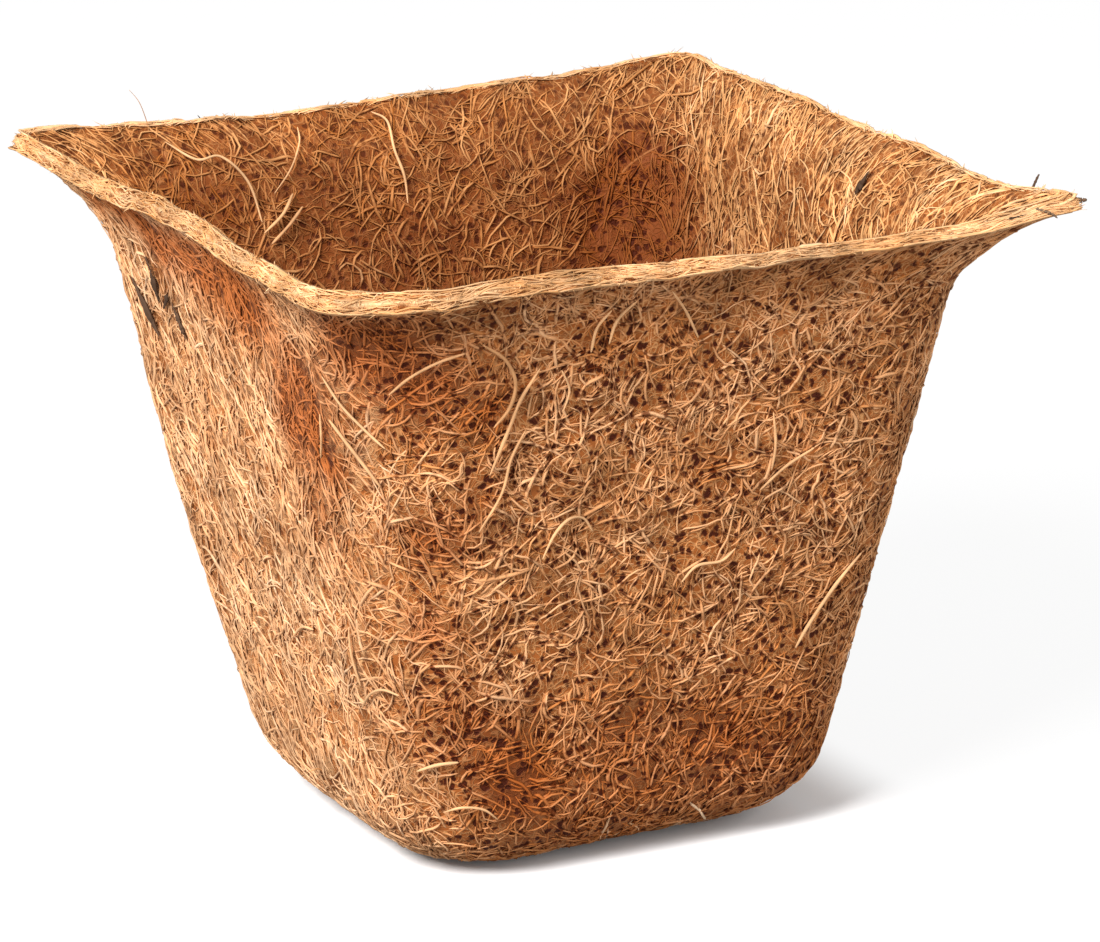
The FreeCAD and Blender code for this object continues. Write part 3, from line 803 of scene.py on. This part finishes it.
def wall_fibres(name, side, seed, locks, straight, pale, pits, lining=False):
    """One piece: the fibres of one side, outside or on the lining. straight is the share of locks that
    run up the wall, pale the middle tint, and pits how dark the mat's pits go where they run through
    fibres."""
    rng = np.random.default_rng(seed)
    count = locks * LOCK_FIBRES
    ways = (WAY_ROUND - (1 if lining else 2) * MM, WAY_EDGE)
    around, way = strewn(rng, side, locks, LOCK_FIBRES, FIBRE_LENGTH, straight, ways)
    depth = weave(rng, count, 0.38 * MM, 0)
    lines, outs = laid(around, way, depth, lining)
    redder, deeper = redder_and_deeper(lines, LINING_DUST_AND_SHADE_PATCHES if lining else DUST_AND_SHADE_PATCHES)
    sunk = (0.28 if lining else 0.35) * MM
    lines = lines - outs * (sunk * np.minimum(deeper, 1.3))[..., None]
    radius = FIBRE_RADIUS * np.exp(rng.normal(0, UNEVEN, (count, 1)))
    taper = 1 - 0.35 * np.abs(2 * np.arange(FIBRE_STEPS) / (FIBRE_STEPS - 1) - 1) ** 3
    # Painted shade: the deeper a fibre lies in the weave, the darker its tint, the more it turns to
    # the red colour and the darker the pits go on it.
    deep = np.clip((depth + 0.08 * MM) / (0.50 * MM), 0, 1)
    tint = pale + 0.16 * (0.45 - deep) + rng.normal(0, 0.055, (count, 1))
    tint = tint + 0.10 * cloudy(lines, 9 * MM, seed + 50) - 0.20 * np.minimum(deeper, 1)
    stain_and_shade = np.clip(redder * 0.9 + 0.35 * (deep - 0.4), 0, 0.85)
    pitted = pits * np.clip(0.45 + 2 * deep, 0, 1) * (1 + 0.6 * deeper)
    tint = np.clip(tint, 0, 1)
    piece = fibre_tubes(name, lines, outs, radius * taper, tint, stain_and_shade, pitted, flatness=0.5)
    piece.data.materials.append(LINING_MATERIAL if lining else FIBRE_MATERIAL)
    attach(piece, "root")


# Painted light: the left wall's outside, which faces the window lamp, has a paler tint and fainter
# painted pit shade.
# name, side, seed, locks, straight, pale, pits
for row in (
    ("front_wall_fibres", 3, 31, 1780, 0.12, 0.50, 0.9),
    ("left_wall_fibres", 2, 32, 1780, 0.60, 0.62, 0.5),
    ("back_wall_fibres", 1, 33, 1600, 0.15, 0.54, 0.9),
    ("right_wall_fibres", 0, 34, 1600, 0.15, 0.54, 0.9),
):
    wall_fibres(*row)

# The fibres of the lining
#
# The inside was pressed by the male mould and is a little closer, of the same fibre.
# Painted light: the right wall's lining, which the window lamp lights, has the palest tint; painted
# shade: the back wall's lining is darker.
for row in (
    ("right_lining_fibres", 0, 41, 1500, 0.65, 0.65, 0.6),
    ("back_lining_fibres", 1, 42, 1450, 0.20, 0.56, 0.6),
    ("left_lining_fibres", 2, 43, 1200, 0.20, 0.60, 0.6),
    ("front_lining_fibres", 3, 44, 1200, 0.20, 0.60, 0.6),
):
    wall_fibres(*row, lining=True)

# The cut edge
#
# A square cutter trimmed the brim, so the felt's section shows: pale, as painted light on a cut that
# faces up to the lamp. Fibres run along it in layers, and short ends stand out of it.
EDGE_MATERIAL = coir_material(
    "coir_cut_edge",
    ((0, (0.42, 0.17, 0.045)), (0.35, (0.60, 0.31, 0.125)), (1, (0.83, 0.54, 0.30))),
    (0.30, 0.08, 0.015),
)


def edge_outs(around, way, inset):
    """Lines at those places and the way out of the cut edge, which is the way up the wall there."""
    lines, _ = on_felt(around, way, inset)
    beyond, _ = on_felt(around, way + 0.1 * MM, inset)
    return lines, unit(beyond - lines)


def edge_fibres():
    """Fibres laid along the cut: each goes along the brim with a slow wave across the felt's thickness
    and a small one out of it."""
    rng = np.random.default_rng(61)
    count = EDGE_FIBRES
    steps = np.arange(FIBRE_STEPS) / (FIBRE_STEPS - 1)
    length = 7 * MM * np.exp(rng.normal(0, 0.3, (count, 1))) * rng.choice((-1, 1), (count, 1))
    slant = rng.normal(0, 0.16, (count, 1))
    around = rng.uniform(0, 4, (count, 1)) + length * steps / quarter_length(np.array(WAY_EDGE))
    inset = rng.uniform(0.05 * MM, FELT_THICKNESS - 0.05 * MM, (count, 1)) + slant * length * steps
    inset = inset + 0.22 * MM * wave(rng, count, steps, 0.5, 1.6)
    inset = np.clip(inset, -0.05 * MM, FELT_THICKNESS + 0.05 * MM)
    rise = rng.uniform(-0.35 * MM, 0.10 * MM, (count, 1)) - 0.3 * MM * np.abs(2 * steps - 1) ** 4
    rise = rise + 0.10 * MM * np.sin(2 * math.pi * (rng.random((count, 1)) + steps * 1.3))
    lines, outs = edge_outs(around, WAY_EDGE + rise, inset)
    radius = EDGE_FIBRE_RADIUS * np.exp(rng.normal(0, UNEVEN, (count, 1))) * np.ones(FIBRE_STEPS)
    tint = np.clip(0.55 + rng.normal(0, 0.11, (count, 1)) + 0.28 * cloudy(lines, 5 * MM, 62), 0, 1)
    return fibre_tubes("cut_edge_fibres", lines, outs, radius, tint)


def frayed_ends():
    """Short ends out of the cut edge: from inside the felt, out past the cut and a little sideways."""
    rng = np.random.default_rng(63)
    count = FRAYED_ENDS
    steps = np.linspace(0, 1, 6)
    around = rng.uniform(0, 4, (count, 1)) + rng.normal(0, 0.013, (count, 1)) * steps ** 1.5
    inset = rng.uniform(0, FELT_THICKNESS, (count, 1))
    inset = inset + rng.normal(0, 0.5 * MM, (count, 1)) * steps ** 2
    reach = np.abs(rng.normal(0, 0.32 * MM, (count, 1))) + 0.05 * MM
    lines, outs = edge_outs(around, WAY_EDGE - 0.5 * MM + (0.5 * MM + reach) * steps, inset)
    across = np.roll(outs, 1, axis=-1)
    radius = FRAYED_RADIUS * np.exp(rng.normal(0, 0.3, (count, 1))) * (1 - 0.5 * steps)
    tint = np.clip(0.50 + rng.normal(0, 0.2, (count, 1)), 0, 1)
    return fibre_tubes("frayed_ends", lines, across, radius, tint)


for piece in (edge_fibres(), frayed_ends()):
    piece.data.materials.append(EDGE_MATERIAL)
    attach(piece, "root")

# The fibres of the floor
#
# The floor is flat between the rounds and has the same curled fibre on its lining and underneath.


def floor_fibres(name, seed, count, height, up, highest):
    """Fibres strewn flat over the floor: each turns by its own curl as it goes, at a level that waves
    within the mat."""
    rng = np.random.default_rng(seed)
    steps = FIBRE_STEPS
    place = rng.uniform(-DISC_HALF - 2 * MM, DISC_HALF + 2 * MM, (count, 1, 2))
    step = 1.15 * MM * np.exp(rng.normal(0, 0.25, (count, 1)))
    heading = rng.uniform(0, 2 * math.pi, (count, 1))
    heading = heading + rng.normal(0, 190, (count, 1)) * step * np.arange(steps)
    heading = heading + np.cumsum(rng.normal(0, 0.2, (count, steps)), axis=1)
    path = np.cumsum(step[..., None] * np.stack([np.cos(heading), np.sin(heading)], axis=-1), axis=1)
    flat = place + path
    depth = weave(rng, count, highest + 0.35 * MM, highest)
    # the round rises from the disc's edge as an arc, and the disc has round corners
    round_off = FOOT_CORNER * DISC_HALF / FOOT_HALF
    beyond = np.linalg.norm(np.maximum(np.abs(flat) - DISC_HALF + round_off, 0), axis=-1) - round_off
    over = np.clip(beyond, 0, 0.9 * FLOOR_ROUND)
    climb = FLOOR_ROUND - np.sqrt(np.maximum(FLOOR_ROUND ** 2 - over ** 2, 0))
    lines = sprung(np.concatenate([flat, (height - up * depth + climb)[..., None]], axis=-1))
    outs = np.zeros_like(lines)
    outs[..., 2] = up
    radius = FLOOR_FIBRE_RADIUS * np.exp(rng.normal(0, UNEVEN, (count, 1))) * np.ones(steps)
    # Painted shade: floor fibres lying deeper get a darker tint and darker pits.
    deep = np.clip((depth - highest) / (0.60 * MM), 0, 1)
    tint = np.clip(0.64 + 0.40 * (0.45 - deep) + rng.normal(0, 0.11, (count, 1)), 0, 1)
    piece = fibre_tubes(name, lines, outs, radius, tint, 0, 0.7 * deep)
    piece.data.materials.append(LINING_MATERIAL if up > 0 else FIBRE_MATERIAL)
    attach(piece, "root")


floor_fibres("floor_lining_fibres", 71, 1700, FELT_THICKNESS, 1, -0.18 * MM)
floor_fibres("floor_under_fibres", 72, 1500, 0, -1, 0.18 * MM)

# The free fibres
#
# Single long fibres that lie on top of the felt, held only here and there. Each replaces the plain
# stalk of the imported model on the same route, as one smooth line that thins out at both ends. Those
# named inner lie on the lining.
FREE_MATERIAL = coir_material(
    "coir_free_fibre",
    ((0, (0.38, 0.16, 0.045)), (0.5, (0.56, 0.29, 0.13)), (1, (0.68, 0.40, 0.20))),
    RED_DUST_AND_SHADE,
)
FINE, USUAL, STOUT = 0.14 * MM, 0.18 * MM, 0.23 * MM
SEAT_CLEARANCE = 0.10 * MM
FREE_FIBRES = (
    ("inner_curl_fibre", USUAL, "back", 0.9,
     ((-0.67, 0.98), (-0.625, 0.955, 2), (-0.55, 0.955, 3), (-0.49, 0.92, 2), (-0.46, 0.86))),
    ("inner_twin_fibre_upper", STOUT, "back", 0.6,
     ((-0.465, 0.845), (-0.395, 0.872, 1), (-0.34, 0.9, 0.5))),
    ("inner_twin_fibre_lower", STOUT, "back", 0.5,
     ((-0.445, 0.825), (-0.375, 0.855, 1), (-0.315, 0.88, 0.5))),
    ("inner_left_strand", FINE, "back", 0.7,
     ((-0.24, 0.985), (-0.265, 0.965, 1), (-0.33, 0.93, 1.5), (-0.405, 0.9, 0.5))),
    ("inner_back_strand", USUAL, "back", 0.8,
     ((0, 0.99), (0.035, 0.975, 1), (0.035, 0.94, 1), (0.055, 0.9, 0.5), (0.06, 0.86))),
    ("front_cross_fibre", USUAL, "front", 0.6,
     ((-0.89, 0.845, 0.5), (-0.835, 0.875, 0.7), (-0.76, 0.9, 0.5), (-0.675, 0.91))),
    ("front_bundle_fibre", STOUT, "front", 0.4,
     ((-0.625, 0.92), (-0.56, 0.89), (-0.53, 0.85), (-0.55, 0.81), (-0.605, 0.78))),
    ("front_sweep_fibre_upper", STOUT, "front", 0.6,
     ((-0.45, 0.87), (-0.515, 0.82), (-0.55, 0.78), (-0.625, 0.7))),
    ("front_sweep_fibre_lower", USUAL, "front", 0.6,
     ((-0.5, 0.77), (-0.55, 0.725), (-0.585, 0.67), (-0.67, 0.61))),
    ("front_upright_fibre_left", FINE, "front", 0.8,
     ((-0.385, 0.86), (-0.36, 0.825), (-0.38, 0.79))),
    ("front_rim_fibre_left", USUAL, "front", 0.8,
     ((-0.24, 0.95), (-0.28, 0.92), (-0.295, 0.88))),
    ("front_rim_fibre_middle", USUAL, "front", 0.8,
     ((-0.17, 0.965), (-0.22, 0.93), (-0.24, 0.89))),
    ("front_rim_fibre_right", USUAL, "front", 0.8,
     ((-0.075, 0.975), (-0.01, 0.93), (0.045, 0.88))),
    ("front_hook_fibre", USUAL, "front", 0.8,
     ((-0.27, 0.585), (-0.305, 0.61), (-0.355, 0.612), (-0.405, 0.59), (-0.45, 0.55))),
    ("front_middle_fibre", USUAL, "front", 0.9,
     ((0.065, 0.475), (0.12, 0.5), (0.21, 0.502), (0.26, 0.52))),
    ("front_upright_fibre_right", USUAL, "front", 0.7,
     ((0.325, 0.74), (0.35, 0.685), (0.35, 0.64))),
    ("front_slant_fibre", USUAL, "front", 0.7,
     ((0.315, 0.61), (0.4, 0.645), (0.495, 0.67))),
    ("front_right_fibre", STOUT, "front", 0.8,
     ((0.775, 0.475), (0.68, 0.43), (0.6, 0.37), (0.56, 0.33))),
    ("corner_fibre_upper", USUAL, "left", 0.9,
     ((-0.725, 0.86, 0.4), (-0.795, 0.82, 0.7), (-0.86, 0.785, 0.7), (-0.905, 0.755, 0.4))),
    ("corner_fibre_middle", STOUT, "left", 0.8,
     ((-0.73, 0.79, 0.4), (-0.79, 0.76, 0.4), (-0.835, 0.73, 0.4), (-0.88, 0.69, 0.4))),
    ("left_upright_fibre_upper", USUAL, "left", 0.8,
     ((-0.675, 0.79), (-0.66, 0.75), (-0.63, 0.71))),
    ("left_upright_fibre_lower", USUAL, "left", 0.9,
     ((-0.64, 0.43), (-0.63, 0.38), (-0.66, 0.33))),
    ("left_short_fibre", USUAL, "left", 0.9,
     ((-0.085, 0.34), (-0.21, 0.375), (-0.32, 0.385))),
    ("foot_arc_fibre", USUAL, "left", 0.9,
     ((-0.635, 0.29), (-0.71, 0.325, 0.4), (-0.775, 0.34, 0.6), (-0.835, 0.335, 0.6))),
    ("foot_star_fibre", STOUT, "front", 0.9,
     ((-0.9, 0.205, 0.6), (-0.84, 0.22, 0.6), (-0.77, 0.225, 0.3))),
    ("foot_edge_fibre", USUAL, "front", 0.8,
     ((-0.835, 0.135, 0.6), (-0.77, 0.145, 0.6), (-0.695, 0.14, 0.4), (-0.64, 0.12, 0.4))),
)


def smooth_line(points, steps):
    """A smooth line through points: between two, a cubic whose slope at each is the chord past it."""
    points = np.asarray(points, float)
    padded = np.vstack([2 * points[0] - points[1], points, 2 * points[-1] - points[-2]])
    place = np.linspace(0, len(points) - 1, steps)
    span = np.minimum(place.astype(int), len(points) - 2)
    t = (place - span)[:, None]
    a, b, c, d = (padded[span + k] for k in range(4))
    return 0.5 * (
        2 * b + (c - a) * t
        + (2 * a - 5 * b + 4 * c - d) * t ** 2
        + (3 * b - a - 3 * c + d) * t ** 3
    )


def free_fibre(number, node, radius, side, tint, places):
    """One free fibre along its places on a side: along it, up it, and how many times its thickness it
    stands off, where it does."""
    rng = np.random.default_rng(100 + number)
    around, way = np.array([place_on_side(side, *place[:2]) for place in places]).T
    lift = np.array([sum(place[2:]) for place in places])
    clear = radius + SEAT_CLEARANCE + lift * 2 * radius
    points, outs = laid(around, way, -clear, node.startswith("inner"))
    steps = 8 * len(places)
    lines, outs = smooth_line(points, steps)[None], smooth_line(outs, steps)[None]
    share = np.linspace(0, 1, steps)
    uneven = np.interp(share * 9, range(10), rng.normal(0, 1, 10))
    thin = 1 - 0.7 * np.abs(2 * share - 1) ** 5 + 0.08 * uneven
    return fibre_tubes(node + "_strand", lines, outs, radius * thin[None], tint, sides=6)


for number, row in enumerate(FREE_FIBRES):
    strand = free_fibre(number, *row)
    strand.data.materials.append(FREE_MATERIAL)
    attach(strand, "root")
    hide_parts(row[0])

# The husk slivers
#
# Dark flakes of the nut's husk that stayed in the fibre: four on the left wall below its far ear and
# one on the right wall's lining, with ragged sides and split along the grain.
HUSK_MATERIAL = coir_material(
    "husk",
    ((0, (0.035, 0.018, 0.010)), (0.5, (0.085, 0.045, 0.025)), (1, (0.20, 0.13, 0.08))),
    (0.05, 0.02, 0.01),
)
SLIVERS = (
    ("husk_sliver_long", "left", (0.645, 0.85), (0.515, 0.76), 0.12, 0.5),
    ("husk_sliver_forked", "left", (0.475, 0.90), (0.455, 0.825), 0.16, 0.3),
    ("husk_sliver_prong", "left", (0.43, 0.82), (0.37, 0.85), 0.22, 0.3),
    ("husk_sliver_short", "left", (0.35, 0.84), (0.295, 0.785), 0.14, 0.5),
    ("inner_husk_sliver", "right", (-0.245, 0.93), (-0.252, 0.962), 0.24, 0.3),
)
SLIVER_STEPS = 26
SLIVER_CLEARANCE = 0.25 * MM


def sliver(number, name, side, tip, end, width_share, tint):
    """A flake along the felt from tip to end: widest in the middle, flat, with noise on its width."""
    rng = np.random.default_rng(200 + number)
    share = np.linspace(0, 1, SLIVER_STEPS)
    route = np.array(tip) + np.outer(share, np.subtract(end, tip))
    around, way = np.array([place_on_side(side, *place) for place in route]).T
    lines, outs = laid(around, way, -SLIVER_CLEARANCE, name.startswith("inner"))
    length = np.linalg.norm(lines[-1] - lines[0])
    ragged = 1 + 0.35 * np.interp(share * 7, range(8), rng.normal(0, 1, 8))
    half = length * width_share * 0.5 * np.sin(math.pi * share) ** 0.7 * ragged + 0.05 * MM
    lines = lines + 0.10 * MM * rng.normal(0, 1, (SLIVER_STEPS, 1)) * np.array((0.5, 0.5, 0))
    lines, outs, half = lines[None], outs[None], half[None]
    return fibre_tubes(name + "_flake", lines, outs, half, tint, sides=8, flatness=0.4)


for number, row in enumerate(SLIVERS):
    flake = sliver(number, *row)
    flake.data.materials.append(HUSK_MATERIAL)
    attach(flake, "root")
    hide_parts(row[0])

# Hairs, barbs and chips on the brim
#
# What stands up from the brim where the cutter tore a fibre or a chip of husk: a fine hair and a barb
# near the left ear, a spike and chips on the right one, and dark flecks along the back. All but the
# hair are of husk. A row is its side and place there, half thickness, flatness, tint, and the points
# it runs on through, in millimetres from its root.
BRIM_BITS = (
    ("tall_hair", "back", -0.67, 0.99, 0.07, 1, 0.2,
     ((0.1, 0, 1.2), (-0.3, 0, 2.9), (-1.2, 0, 5.2), (-2.6, 0, 7))),
    ("short_barb", "back", -0.47, 1, 0.13, 1, 0.3,
     ((-0.3, 0, 0.4), (-1.1, 0, 1.4))),
    ("ear_spike", "right", -0.83, 1, 0.32, 0.7, 0.3,
     ((0.5, 0.2, 0.7), (1.3, 0.5, 1.8), (1.7, 0.6, 2.3))),
    ("ear_tip_chip", "right", -0.985, 1, 0.54, 0.7, 0.6,
     ((0.5, -0.4, 0), (1, -0.8, 0.1))),
    ("ear_hook", "front", 0.9, 1, 0.36, 0.6, 0.8,
     ((0.9, -0.5, -0.3), (1.6, -0.8, -0.7), (2, -1.1, -1.1))),
    ("ear_far_chip", "right", -0.86, 1, 0.3, 0.5, 0.3,
     ((0.5, -1.2, 0.3), (1, -2.6, 0.5))),
    ("ear_near_chip", "front", 0.84, 1, 0.34, 0.5, 0.3,
     ((1, -0.1, 0.1), (2.2, -0.4, 0.2), (3.4, -0.9, -0.4))),
    ("back_fleck_left", "back", -0.84, 1, 0.22, 0.5, 0.7,
     ((1.6, 0, 0.1), (3.2, 0, 0.2))),
    ("back_fleck_middle", "back", -0.4, 1, 0.18, 0.5, 0.5,
     ((1, 0, 0.1), (2.2, 0, 0.3))),
    ("back_fleck_ear", "back", 0.97, 1, 0.16, 0.6, 0.4,
     ((0.4, 0, 0.2), (0.9, 0, 0.5))),
    ("right_fleck_far", "right", 0.6, 1, 0.16, 0.6, 0.4,
     ((0.1, -0.5, 0.2), (0.2, -1.2, 0.5))),
    ("right_fleck_near", "right", -0.6, 1, 0.17, 0.6, 0.4,
     ((0.1, -0.7, 0.2), (0.2, -1.5, 0.3))),
)


def brim_bit(number, name, side, along, up, radius, flatness, tint, run):
    """A hair or chip from a place on the cut edge, on through the points of its run."""
    of_husk = name != "tall_hair"
    around, way = place_on_side(side, along, up)
    root, _ = on_felt(around, way, FELT_THICKNESS / 2)
    points = [root - np.array(run[0]) * 0.5 * MM, root] + [root + np.array(step) * MM for step in run]
    steps = 6 * len(points)
    lines = smooth_line(points, steps)[None]
    outs = np.broadcast_to((0, 0.3, 0.95), lines.shape)
    share = np.linspace(0, 1, steps)
    rng = np.random.default_rng(300 + number)
    thick = radius * MM * (1 - 0.6 * share ** 2) * (1 + 0.15 * rng.normal(0, 1, steps) * of_husk)
    piece = fibre_tubes(name, lines, outs, thick[None], tint, sides=6, flatness=flatness)
    piece.data.materials.append(HUSK_MATERIAL if of_husk else FREE_MATERIAL)
    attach(piece, "root")


for number, row in enumerate(BRIM_BITS):
    brim_bit(number, *row)
